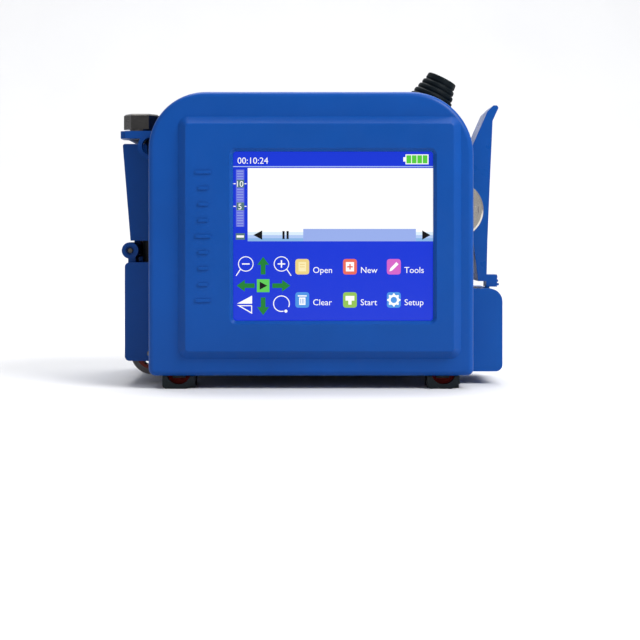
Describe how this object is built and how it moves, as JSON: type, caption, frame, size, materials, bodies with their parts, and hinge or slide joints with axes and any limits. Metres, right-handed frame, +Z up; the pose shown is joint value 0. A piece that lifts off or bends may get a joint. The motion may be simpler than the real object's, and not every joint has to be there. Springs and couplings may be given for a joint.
{
  "type": "date code inkjet printer",
  "caption": "Hand-held date code inkjet printer with a touch screen, hinged cartridge door, sprung release lever, ribbed print button, and guide shoes with rollers.",
  "frame": {"origin": "bottom centre of the whole machine, level with the soles of the guide shoes", "axes": "+X right as the screen is read, +Y away from the reader, +Z up"},
  "size_m": [0.124, 0.0888, 0.1024],
  "materials": {
    "blue_case": "satin moulded, deep blue",
    "blue_body": "fine textured, deep blue",
    "blue_moving": "satin moulded, deep blue",
    "dark_steel": "oiled, darkened",
    "nickel": "polished nickel",
    "brass": "turned",
    "black_plastic": "fine texture",
    "black_rubber": "dull",
    "red_rubber": "ground silicone",
    "red_hub": "satin",
    "grey_tyre": "ground",
    "cartridge": "fine texture",
    "gold_plate": "polished foil",
    "screen_glass": "clear, hard coated",
    "display": "lit liquid crystal display",
    "sheet_metal": "zinc plated sheet",
    "circuit_board": "green solder mask",
    "cell_wrap": "shrink sleeve",
    "plate": "satin, blank"
  },
  "bodies": {
    "case": {"battery_case": "black_plastic", "battery_cells": "cell_wrap", "battery_cover": "blue_body", "board_chips": "black_plastic", "bolt_washer": "dark_steel", "button_collar": "black_plastic", "button_switch": "black_plastic", "buzzer": "black_plastic", "cartridge_bay": "blue_body", "cartridge_body": "cartridge", "cartridge_lid": "cartridge", "contact_block": "black_plastic", "door_pin": "dark_steel", "driver_board": "circuit_board", "encoder_axle": "dark_steel", "encoder_sensor": "black_plastic", "front_shell": "blue_case", "guide_shoe_front_left": "black_plastic", "guide_shoe_front_right": "black_plastic", "guide_shoe_rear_left": "black_plastic", "guide_shoe_rear_right": "black_plastic", "hex_bolt": "dark_steel", "lcd_frame": "sheet_metal", "lcd_panel": "display", "lever_screw": "nickel", "lever_spring": "dark_steel", "main_board": "circuit_board", "nozzle_plate": "gold_plate", "power_inlet": "black_plastic", "rating_plate": "plate", "rear_inserts": "brass", "rear_shell": "blue_body", "roller_axles": "dark_steel", "roof_bracket": "blue_body", "screen_gasket": "black_rubber", "sensor_socket": "black_plastic", "shell_screws": "dark_steel", "slide_switch": "black_plastic", "touch_glass": "screen_glass", "usb_socket": "black_plastic"},
    "door": {"cartridge_door": "blue_moving"},
    "lever": {"release_lever": "blue_moving"},
    "print_button": {"button_cap": "black_rubber", "button_stem": "black_plastic"},
    "slider": {"power_slider": "blue_moving"},
    "encoder_wheel": {"encoder_hub": "red_hub", "encoder_tyre": "grey_tyre"},
    "roller_front_left": {"guide_roller_front_left": "red_rubber"},
    "roller_front_right": {"guide_roller_front_right": "red_rubber"},
    "roller_rear_left": {"guide_roller_rear_left": "red_rubber"},
    "roller_rear_right": {"guide_roller_rear_right": "red_rubber"}
  },
  "joints": [
    {"name": "door_hinge", "type": "hinge", "parent": "case", "child": "door", "pos_m": [-0.0593, 0.0103, 0.0432], "axis": [0, -1, 0], "range_deg": [0, 92]},
    {"name": "lever_pivot", "type": "hinge", "parent": "case", "child": "lever", "pos_m": [0.0469, -0.009, 0.0565], "axis": [0, 1, 0], "range_deg": [0, 12], "stiffness_Nm_per_rad": 0.3, "springref_deg": -11.46},
    {"name": "button_press", "type": "slide", "parent": "case", "child": "print_button", "axis": [-0.454, 0, -0.891], "range_m": [0, 0.0025], "stiffness_N_per_m": 400, "springref_m": -0.001},
    {"name": "power_slide", "type": "slide", "parent": "case", "child": "slider", "axis": [0, 1, 0], "range_m": [0, 0.004]},
    {"name": "encoder_spin", "type": "hinge", "parent": "case", "child": "encoder_wheel", "pos_m": [-0.0518, -0.0189, 0.0099], "axis": [0, 1, 0], "continuous": true},
    {"name": "roller_front_left_spin", "type": "hinge", "parent": "case", "child": "roller_front_left", "pos_m": [-0.0416, -0.0324, 0.0052], "axis": [0, 1, 0], "continuous": true},
    {"name": "roller_front_right_spin", "type": "hinge", "parent": "case", "child": "roller_front_right", "pos_m": [0.0416, -0.0324, 0.0052], "axis": [0, 1, 0], "continuous": true},
    {"name": "roller_rear_left_spin", "type": "hinge", "parent": "case", "child": "roller_rear_left", "pos_m": [-0.0205, 0.0349, 0.0052], "axis": [0, 1, 0], "continuous": true},
    {"name": "roller_rear_right_spin", "type": "hinge", "parent": "case", "child": "roller_rear_right", "pos_m": [0.0416, 0.0349, 0.0052], "axis": [0, 1, 0], "continuous": true}
  ]
}
